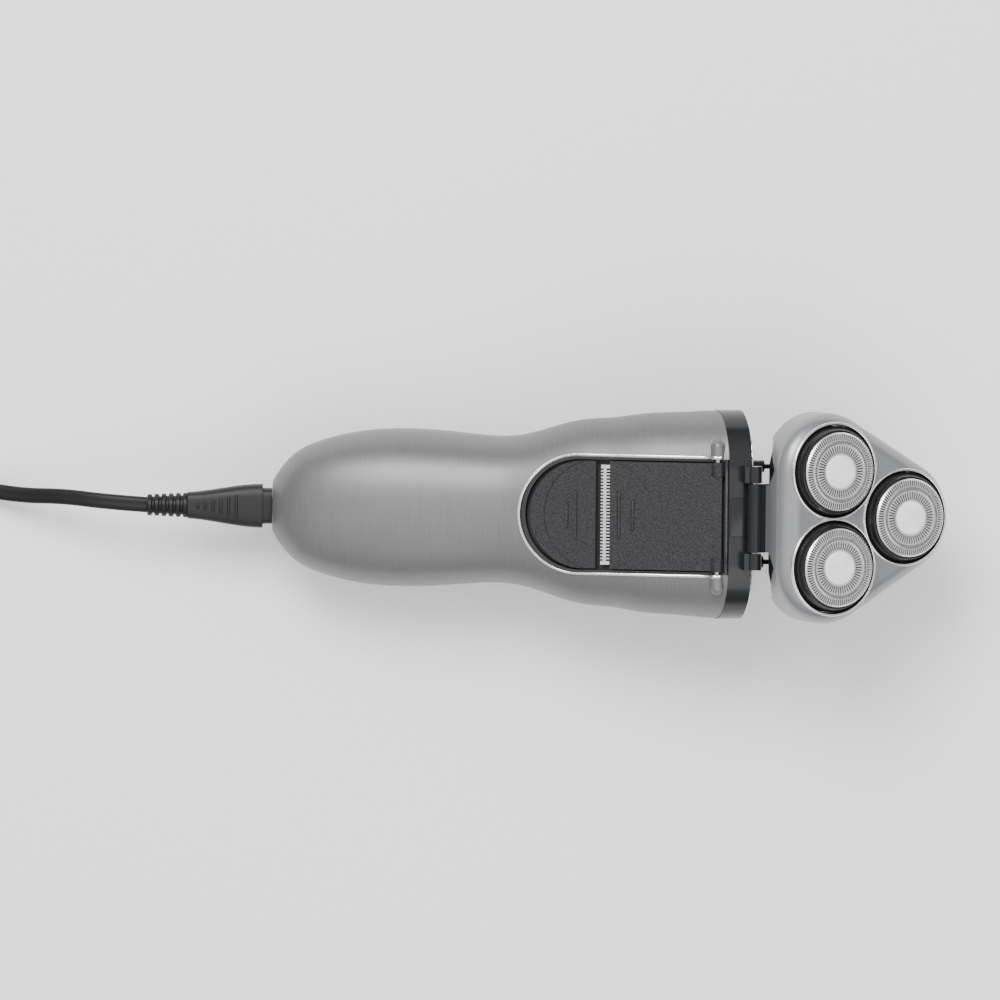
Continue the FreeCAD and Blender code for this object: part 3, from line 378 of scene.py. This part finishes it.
def soft_block(size, place, radius, segments=3):
    """A rectangular block with rounded edges, set down by a matrix."""
    mesh = bmesh.new()
    bmesh.ops.create_cube(mesh, size=1, matrix=Matrix.Diagonal((*size, 1)))
    bmesh.ops.bevel(
        mesh, geom=mesh.edges, offset=radius, segments=segments, affect="EDGES", profile=0.5, material=-1,
        offset_type="OFFSET", clamp_overlap=True,
    )
    bmesh.ops.transform(mesh, matrix=place, verts=mesh.verts)
    return mesh


def drawn_along(profile, path, closed, up=Vector((0, 0, 1))):
    """An outline of side and height drawn along a path, its height kept towards up."""
    mesh = bmesh.new()
    verts = [mesh.verts.new((x, y, 0)) for x, y in profile]
    loop = [mesh.edges.new((verts[i], verts[(i + 1) % len(verts)])) for i in range(len(verts))]
    first = verts
    count = len(path)
    for i in range(count):
        ahead = path[(i + 1) % count] if closed or i + 1 < count else path[i]
        behind = path[i - 1] if closed or i else path[i]
        along = (ahead - behind).normalized()
        side = up.cross(along).normalized()
        turn = Matrix((side, along.cross(side), along)).transposed().to_4x4()
        station = Matrix.Translation(path[i]) @ turn
        if i:
            grown = bmesh.ops.extrude_edge_only(mesh, edges=loop)["geom"]
            verts = [item for item in grown if isinstance(item, bmesh.types.BMVert)]
            edges = [item for item in grown if isinstance(item, bmesh.types.BMEdge)]
            loop = [edge for edge in edges if all(v in verts for v in edge.verts)]
            bmesh.ops.transform(mesh, matrix=station @ last.inverted(), verts=verts)
        else:
            bmesh.ops.transform(mesh, matrix=station, verts=verts)
        last = station
    if closed:
        start = [e for e in mesh.edges if all(v in first for v in e.verts)]
        bmesh.ops.bridge_loops(mesh, edges=start + loop)
    else:
        bmesh.ops.holes_fill(mesh, edges=[e for e in mesh.edges if e.is_boundary], sides=0)
    bmesh.ops.recalc_face_normals(mesh, faces=mesh.faces)
    return mesh


def half_round(width, height, count=6):
    """The outline of a low bead on a surface, a little sunk into it."""
    angles = [math.pi * i / count for i in range(count + 1)]
    arc = [(width / 2 * math.cos(angle), height * math.sin(angle)) for angle in angles]
    return arc + [(-width / 2, -height), (width / 2, -height)]


def surface_of(*nodes):
    """Something to cast rays on, made from engineering pieces at rest."""
    verts, faces = [], []
    for node in nodes:
        data = NODES[node].data
        start = len(verts)
        verts += [v.co.copy() for v in data.vertices]
        faces += [[start + i for i in polygon.vertices] for polygon in data.polygons]
    return BVHTree.FromPolygons(verts, faces)


def on_surface(tree, point, towards):
    """Where a ray from far outside meets the surface."""
    far_outside = 50 * MM
    hit = tree.ray_cast(point - towards * far_outside, towards)[0]
    if hit is None:
        raise RuntimeError("a detail has no surface under it")
    return hit


# ---- lead ----------------------------------------------------------------------------------------

# The lead's route from the strain relief to the coil.
LEAD_ROUTE = [
    (-0.1294, 0, 0.0185),
    (-0.141, 0.0007, 0.0179),
    (-0.153, 0.0019, 0.0134),
    (-0.165, 0.0016, 0.0076),
    (-0.177, 0.0032, 0.0034),
    (-0.190, 0.0066, 0.002),
    (-0.203, 0.008, 0.0019),
]
COIL_LANES = [(0, 0), (1, 0), (2, 0), (2, 1), (1, 1), (0, 1), (1, 2), (0, 2)]
POINTS_A_TURN = 16
LANE_CHANGE = 0.3  # share of a turn in which the cord crosses to its next lane
COIL_INNER = 25 * MM
CURVE_EASE = 1.006  # a smooth curve runs this much inside the points that draw it
CLEARANCE = 0.05 * MM
TAIL_LEAD = 5 * MM
CASE_GAP = 0.2 * MM


def coil_points():
    """The coil's turns, lane by lane and layer by layer, then the way out to the adaptor."""
    low, high = (Vector(corner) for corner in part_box("cord_coil"))
    centre = (low + high) / 2
    width, thickness = sizes().cord_width, sizes().cord_thickness
    outer = COIL_INNER + width
    points = []
    for step in range(1, POINTS_A_TURN * len(COIL_LANES) + 1):
        number, part = divmod(step, POINTS_A_TURN)
        number = min(number, len(COIL_LANES) - 1)
        after = min(number + 1, len(COIL_LANES) - 1)
        blend = max(0.0, part / POINTS_A_TURN - (1 - LANE_CHANGE)) / LANE_CHANGE
        blend = blend * blend * (3 - 2 * blend)
        lane = [a + (b - a) * blend for a, b in zip(COIL_LANES[number], COIL_LANES[after])]
        radius = (outer - lane[0] * width) * CURVE_EASE
        height = low.z + thickness * (0.5 + lane[1]) + CLEARANCE
        angle = math.pi / 2 + 2 * math.pi * step / POINTS_A_TURN
        points.append((centre.x + radius * math.cos(angle), centre.y + radius * math.sin(angle), height))
    tail_low, tail_high = (Vector(corner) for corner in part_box("cord_tail"))
    tail = (tail_low + tail_high) / 2
    points.append((tail.x + TAIL_LEAD, tail.y, tail.z))
    points.append((tail_low.x - CASE_GAP, tail.y, tail.z))
    return points


def spline_line(points):
    """The smooth line of a NURBS curve through the route, read back as points."""
    curve = bpy.data.curves.new("lead_line", "CURVE")
    curve.dimensions = "3D"
    curve.resolution_u = 6
    spline = curve.splines.new("NURBS")
    spline.points.add(len(points) - 1)
    for item, point in zip(spline.points, points):
        item.co = (*point, 1)
    spline.order_u = 3
    spline.use_endpoint_u = True
    holder = bpy.data.objects.new("lead_line", curve)
    line = bpy.data.meshes.new_from_object(holder)
    found = [v.co.copy() for v in line.vertices]
    bpy.data.objects.remove(holder)
    bpy.data.meshes.remove(line)
    bpy.data.curves.remove(curve)
    return found


def twin_outline(width, thickness, count=7):
    """Outline of a twin cord: two round cores side by side with a groove between them."""
    radius, apart = thickness / 2, (width - thickness) / 2
    outline = []
    for side in (1, -1):
        for i in range(count):
            angle = math.radians(-120 + 240 * i / (count - 1))
            x, y = apart + radius * math.cos(angle), radius * math.sin(angle)
            outline.append((side * x, side * y))
    return outline


# The flat plug behind the charging socket.
PLUG_HEIGHT = 18.5 * MM
FIRST_GRIP_RIDGE = -115.2 * MM
GRIP_RIDGE_STEP = 2.18 * MM


class SHAVER_OT_lead(bpy.types.Operator):
    """Lay the flat twin cord, its coil, plug, strain relief, tie and adaptor"""

    bl_idname = "shaver.lead"
    bl_label = "Charging lead"

    def execute(self, context):
        path = spline_line(LEAD_ROUTE + coil_points())
        mesh = drawn_along(twin_outline(sizes().cord_width, sizes().cord_thickness), path, closed=False)
        cord = place_piece("cord", mesh, "lead", finish_of("cord"), 60)
        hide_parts("cord_run", "cord_coil", "cord_tail")
        relief = self.add_relief()
        length = sum((b - a).length for a, b in zip(path, path[1:]))
        print("cord length", round(length, 4))
        for node in ("plug_body", "plug_nose", "adaptor_case"):
            dress(node, finish_of("plug"))
        dress("cord_tie", finish_of("black"))
        dress("adaptor_pins", finish_of("nickel"))
        self.add_grip_ridges()
        return {"FINISHED"}

    def add_relief(self):
        """Strain relief behind the plug: broad rounded ribs, each smaller than the last."""
        low, high = (Vector(corner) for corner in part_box("strain_relief"))
        middle = (low + high) / 2
        ribs, gap_share = 6, 0.3
        corner, shrink, gap_depth = 0.3 * MM, 0.1 * MM, 0.75 * MM
        pitch = (high.x - low.x) / (ribs - gap_share)
        gap = gap_share * pitch
        profile = [(0, 0)]
        for rib in range(ribs):
            radius = (high.z - low.z) / 2 - shrink * rib
            start, end = rib * pitch, (rib + 1) * pitch - gap
            profile += [(radius - corner, start), (radius, start + corner)]
            profile += [(radius, end - corner), (radius - corner, end)]
            if rib < ribs - 1:
                profile += [(radius - gap_depth, end), (radius - gap_depth, end + gap)]
        profile.append((0, end))
        towards_tail = Matrix.Rotation(math.radians(-90), 4, "Y")
        place = Matrix.Translation((high.x, middle.y, middle.z)) @ towards_tail
        mesh = spin_profile(profile, place, steps=48)
        relief = place_piece("ribbed_relief", mesh, "lead", finish_of("cord"))
        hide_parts("strain_relief")
        return relief

    def add_grip_ridges(self):
        """Six raised grip ridges on the plug, each longer than the last."""
        tree = surface_of("plug_body")
        for i in range(6):
            middle = Vector((FIRST_GRIP_RIDGE + i * GRIP_RIDGE_STEP, 0, PLUG_HEIGHT))
            size = Vector((0.8, 1.4 + i, 0.9)) * MM
            for side in (-1, 1):
                spot = on_surface(tree, middle, Vector((0, 0, side)))
                mesh = soft_block(size, Matrix.Translation(spot), 0.3 * MM)
                top = "under" if side > 0 else "top"
                place_piece(f"plug_ridge_{top}_{i + 1}", mesh, "lead", finish_of("plug"))


# ---- handle --------------------------------------------------------------------------------------

# The trimmer's recess along the back, measured from the trimmer's hinge.
RECESS_CENTRE = -39.7 * MM
RECESS_END = 1.2 * MM
RECESS_GAP = 0.1 * MM

# The collar's line is a painted highlight: a near-white bead round its front edge.
COLLAR_LINE_RADIUS = 15.62 * MM
COLLAR_LINE_BEAD = 0.22 * MM


def recess_path(tree, grow):
    """The edge of the trimmer's recess on the shell, from the collar round the rounded end and back."""
    low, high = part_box("trimmer_tray")
    radius = (high[1] - low[1]) / 2 + RECESS_GAP + grow
    straight = RECESS_END - RECESS_CENTRE
    steps = 24
    flat = [(RECESS_END - straight * i / steps, radius) for i in range(steps)]
    for i in range(2 * steps + 1):
        angle = math.pi * (0.5 + i / (2 * steps))
        flat.append((RECESS_CENTRE + radius * math.cos(angle), radius * math.sin(angle)))
    flat += [(RECESS_CENTRE + straight * (i + 1) / steps, -radius) for i in range(steps)]
    down = -(TRIMMER.to_3x3() @ Vector((0, 0, 1)))
    return [on_surface(tree, TRIMMER @ Vector((x, y, 0)), down) for x, y in flat]


class SHAVER_OT_handle(bpy.types.Operator):
    """Finish the shells, the collar and everything inside the handle"""

    bl_idname = "shaver.handle"
    bl_label = "Handle"

    def execute(self, context):
        for node in ("front_shell", "back_shell"):
            dress(node, finish_of("shell"))
        for node in ("collar", "release_button", "power_button"):
            dress(node, finish_of("collar"))
        for node in ("gear_plate", "charge_socket", "power_switch"):
            dress(node, finish_of("collar"))
        for node in ("gear_carrier", "sun_gear", "planet_gear_1", "planet_gear_2", "planet_gear_3"):
            dress(node, finish_of("gear"))
        for node in ("spindle_1", "spindle_2", "spindle_3"):
            dress(node, finish_of("black"))
        for node in ("hinge_pin", "motor", "trimmer_pins"):
            dress(node, finish_of("steel"))
        for node in ("battery_cell_1", "battery_cell_2"):
            dress(node, finish_of("wrap"))
        dress("motor_pinion", finish_of("brass"))
        dress("circuit_board", finish_of("board"))
        dress("charge_light", finish_of("light"))
        # The recess's rim is a near-white bead: a painted highlight where the shell's edge catches the
        # light.
        rim_height = 0.25 * MM
        path = recess_path(surface_of("back_shell"), sizes().rim_width / 2)
        up = TRIMMER.to_3x3() @ Vector((0, 0, 1))
        mesh = drawn_along(half_round(sizes().rim_width, rim_height), path, closed=False, up=up)
        place_piece("recess_rim_highlight", mesh, "handle", finish_of("rim"))
        self.add_collar_trim()
        return {"FINISHED"}

    def add_collar_trim(self):
        """A near-white bead round the collar's front edge, a painted highlight, and a raised block in the
        middle of its back.
        """
        middle = sum(CUTTERS, Vector()) / 3
        steps = 16
        path = []
        for centre in (CUTTERS[2], CUTTERS[0], CUTTERS[1]):
            out = math.atan2((centre - middle).y, (centre - middle).x)
            for i in range(steps + 1):
                angle = out + math.radians(-60 + 120 * i / steps)
                path.append(centre + COLLAR_LINE_RADIUS * Vector((math.cos(angle), math.sin(angle), 0)))
        path = [MOUTH @ point for point in path]
        angles = [math.pi * k / 4 for k in range(8)]
        bead = [(COLLAR_LINE_BEAD * math.cos(a), COLLAR_LINE_BEAD * math.sin(a)) for a in angles]
        mesh = drawn_along(bead, path, closed=True, up=OUT_OF_MOUTH)
        place_piece("collar_edge_highlight", mesh, "handle", finish_of("rim"))
        place = MOUTH @ Matrix.Translation(Vector((2.75, 0, -3.3)) * MM)
        mesh = soft_block(Vector((0.7, 10.8, 6.2)) * MM, place, 0.25 * MM)
        place_piece("collar_block", mesh, "handle", finish_of("collar"))


# ---- trimmer -------------------------------------------------------------------------------------


class SHAVER_OT_trimmer(bpy.types.Operator):
    """Finish the pop-up trimmer and its release button"""

    bl_idname = "shaver.trimmer"
    bl_label = "Trimmer"

    def execute(self, context):
        dress("trimmer_tray", finish_of("recess"))
        for node in ("trimmer_panel", "trimmer_button"):
            dress(node, finish_of("grained"))
        dress("trimmer_comb", finish_of("rim"))
        # The trimmer's blade wears the near-black cutter steel, a painted shade.
        dress("trimmer_blade", finish_of("cutter"))
        tree = surface_of("trimmer_panel")
        down = -(TRIMMER.to_3x3() @ Vector((0, 0, 1)))
        for i, (distance, length) in enumerate(((-27.8, 13.4), (-23.9, 8.4)), 1):
            spot = on_surface(tree, TRIMMER @ Vector((distance * MM, 0, 0)), down)
            place = Matrix.Translation(spot) @ TRIMMER.to_quaternion().to_matrix().to_4x4()
            mesh = soft_block(Vector((1.0, length, 0.9)) * MM, place, 0.35 * MM)
            place_piece(f"panel_ridge_{i}", mesh, "trimmer", finish_of("grained"))
        return {"FINISHED"}


# ---- shaving head --------------------------------------------------------------------------------

# Heights in the shaving head are measured from its hinge, towards the combs.
COVER_HEIGHT = 12 * MM
COMB_TOP = 15.3 * MM
OPENING_RADIUS = 12.8 * MM


class SHAVER_OT_head(bpy.types.Operator):
    """Finish the head's cover, its openings' lips and the pieces inside it"""

    bl_idname = "shaver.head"
    bl_label = "Shaving head"

    def execute(self, context):
        dress("head_frame", finish_of("chrome"))
        for node in ("head_liner", "retaining_frame", "lock_knob"):
            dress(node, finish_of("black"))
        # The lips wear near-white metal: a painted highlight round each opening, on a real rolled lip.
        width, lip_height, inner = sizes().lip_width, 0.45 * MM, OPENING_RADIUS
        for i, centre in enumerate(CUTTERS, 1):
            place = HEAD @ Matrix.Translation(centre + Vector((0, 0, COVER_HEIGHT)))
            profile = [(inner, -1.2 * MM)]
            for k in range(7):
                angle = math.pi * k / 6
                across = width / 2 - width / 2 * math.cos(angle)
                profile.append((inner + across, lip_height * math.sin(angle)))
            profile.append((inner + width, -0.3 * MM))
            mesh = spin_profile(profile, place)
            place_piece(f"opening_lip_{i}", mesh, "head", finish_of("rim"))
        return {"FINISHED"}


class SHAVER_OT_shaving_units(bpy.types.Operator):
    """Finish the three holder rings, combs, caps and cutters"""

    bl_idname = "shaver.shaving_units"
    bl_label = "Shaving units"

    def execute(self, context):
        for i, centre in enumerate(CUTTERS, 1):
            dress(f"float_spring_{i}", finish_of("steel"))
            # The cutters wear the near-black steel: painted shade seen through the combs' slots.
            dress(f"cutter_{i}", finish_of("cutter"))
            comb_steel = ground_steel(f"circle-ground comb steel {i}", "#F4F3F1", 0.34, centre)
            dress(f"comb_{i}", comb_steel)
            self.add_ring(i, centre)
            self.add_cap(i, centre)
            self.add_track(i, centre)
        return {"FINISHED"}

    def add_ring(self, i, centre):
        """Holder ring that tapers towards its comb, with a rounded upper edge."""
        rows = [(7.2, 8.4), (11.0, 8.0), (12.5, 8.0), (12.5, 11.9), (11.6, 13.9)]
        rows += [(11.45, 14.2), (11.2, 14.3), (11.0, 14.2), (11.0, 9.9), (7.2, 9.9)]
        mesh = spin_profile([(r * MM, z * MM) for r, z in rows], HEAD @ Matrix.Translation(centre))
        ring = place_piece(f"holder_ring_{i}", mesh, f"unit_{i}", finish_of("black"))
        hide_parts(f"comb_ring_{i}")

    def add_cap(self, i, centre):
        """Low domed cap with a rounded edge in the middle of a comb."""
        place = HEAD @ Matrix.Translation(centre + Vector((0, 0, COMB_TOP)))
        rounding, dome, edge_height, crown = 4.1, 0.16, 0.44, 0.6
        rows = [(0, 0), (4.6, 0), (4.6, 0.18), (4.45, 0.34), (rounding, edge_height)]
        rows += [(r, crown - dome * (r / rounding) ** 2) for r in (3.2, 2.2, 1.2, 0)]
        mesh = spin_profile([(r * MM, z * MM) for r, z in rows], place)
        cap = place_piece(f"domed_cap_{i}", mesh, f"unit_{i}", finish_of("cap"))
        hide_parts(f"comb_cap_{i}")

    def add_track(self, i, centre):
        """Smooth raised track between a comb's two rings of slots, with a fine groove in it."""
        place = HEAD @ Matrix.Translation(centre + Vector((0, 0, COMB_TOP)))
        rows = [(7.6, -0.1), (7.6, 0.06), (7.7, 0.12), (8.05, 0.12), (8.1, 0.02)]
        rows += [(8.2, 0.02), (8.25, 0.12), (8.6, 0.12), (8.7, 0.06), (8.7, -0.1)]
        mesh = spin_profile([(r * MM, z * MM) for r, z in rows], place)
        place_piece(f"comb_track_{i}", mesh, f"unit_{i}", finish_of("steel"))


# ---- stage ---------------------------------------------------------------------------------------


def studio_world():
    """A white ceiling that falls off to grey walls, so that plated surfaces show their shape."""
    world = bpy.data.worlds.new("studio")
    world.use_nodes = True
    tree = world.node_tree
    place = add_node(tree, "ShaderNodeTexCoord").outputs["Generated"]
    axes = add_node(tree, "ShaderNodeSeparateXYZ", links={"Vector": place})
    ramp = add_node(tree, "ShaderNodeValToRGB", links={"Fac": axes.outputs["Z"]})
    ramp.color_ramp.elements[0].position = 0.15
    ramp.color_ramp.elements[0].color = (0.16, 0.16, 0.17, 1)
    ramp.color_ramp.elements[1].position = 0.75
    ramp.color_ramp.elements[1].color = (1, 1, 1, 1)
    tree.links.new(ramp.outputs["Color"], tree.nodes["Background"].inputs["Color"])
    tree.nodes["Background"].inputs["Strength"].default_value = 1.25
    return world


def add_light(name, place, aim, size, power):
    """A soft square light aimed at a point."""
    data = bpy.data.lights.new(name, "AREA")
    data.size = size
    data.energy = power
    obj = bpy.data.objects.new(name, data)
    bpy.context.scene.collection.objects.link(obj)
    turn = (Vector(aim) - Vector(place)).to_track_quat("-Z", "Y").to_matrix().to_4x4()
    obj.matrix_world = Matrix.Translation(place) @ turn
    return obj


SENSOR_WIDTH = 36  # millimetres, as a camera's own settings are


def look_down(target, tilt, roll, distance, width):
    """A long lens straight above, tilted a little and turned a little about its own axis."""
    data = bpy.data.cameras.new("camera")
    obj = bpy.data.objects.new("camera", data)
    bpy.context.scene.collection.objects.link(obj)
    data.sensor_width = SENSOR_WIDTH
    data.lens = SENSOR_WIDTH * distance / width
    data.clip_start = 0.05
    data.clip_end = 20
    turn = Matrix.Rotation(-tilt, 4, "X") @ Matrix.Rotation(roll, 4, "Z")
    obj.matrix_world = Matrix.Translation(target) @ turn @ Matrix.Translation((0, 0, distance))
    bpy.context.scene.camera = obj


class SHAVER_OT_stage(bpy.types.Operator):
    """Set the floor, the soft studio lights and the camera"""

    bl_idname = "shaver.stage"
    bl_label = "Stage"

    def execute(self, context):
        mesh = bmesh.new()
        bmesh.ops.create_grid(mesh, x_segments=2, y_segments=2, size=3.0)
        data = bpy.data.meshes.new("floor")
        mesh.to_mesh(data)
        mesh.free()
        floor = bpy.data.objects.new("floor", data)
        context.scene.collection.objects.link(floor)
        data.materials.append(floor_paper())
        context.scene.world = studio_world()
        aim = (0, 0, 0.02)
        add_light("key", (-0.25, 0.7, 1.1), aim, size=0.6, power=17)
        add_light("fill", (0.5, -0.6, 1.0), aim, size=0.9, power=5)
        look_down(
            target=(-0.0304, 0.0035, 0.04),
            tilt=math.radians(3.5),
            roll=math.radians(0.5),
            distance=3.0,
            width=0.2787,
        )
        return {"FINISHED"}


# ---- panel and registration ----------------------------------------------------------------------

PIECE_OPERATORS = (
    SHAVER_OT_stage,
    SHAVER_OT_lead,
    SHAVER_OT_handle,
    SHAVER_OT_trimmer,
    SHAVER_OT_head,
    SHAVER_OT_shaving_units,
)


class SHAVER_PT_panel(bpy.types.Panel):
    """Sidebar panel with the shaver's sizes, colours and pieces"""

    bl_idname = "SHAVER_PT_panel"
    bl_label = "Rotary shaver"
    bl_space_type = "VIEW_3D"
    bl_region_type = "UI"
    bl_category = "Shaver"

    def draw(self, context):
        for group in (context.scene.shaver_sizes, context.scene.shaver_colours):
            for name in group.__annotations__:
                self.layout.prop(group, name)
        for operator in PIECE_OPERATORS:
            self.layout.operator(operator.bl_idname)


CLASSES = (ShaverSizes, ShaverColours) + PIECE_OPERATORS + (SHAVER_PT_panel,)


def register():
    for item in CLASSES:
        bpy.utils.register_class(item)
    bpy.types.Scene.shaver_sizes = bpy.props.PointerProperty(type=ShaverSizes)
    bpy.types.Scene.shaver_colours = bpy.props.PointerProperty(type=ShaverColours)


def unregister():
    del bpy.types.Scene.shaver_colours
    del bpy.types.Scene.shaver_sizes
    for item in reversed(CLASSES):
        bpy.utils.unregister_class(item)


def main():
    """Register the add-on, make every piece in order and print the cord's length."""
    register()
    for operator in PIECE_OPERATORS:
        group, name = operator.bl_idname.split(".")
        getattr(getattr(bpy.ops, group), name)()


if __name__ == "__main__":
    main()
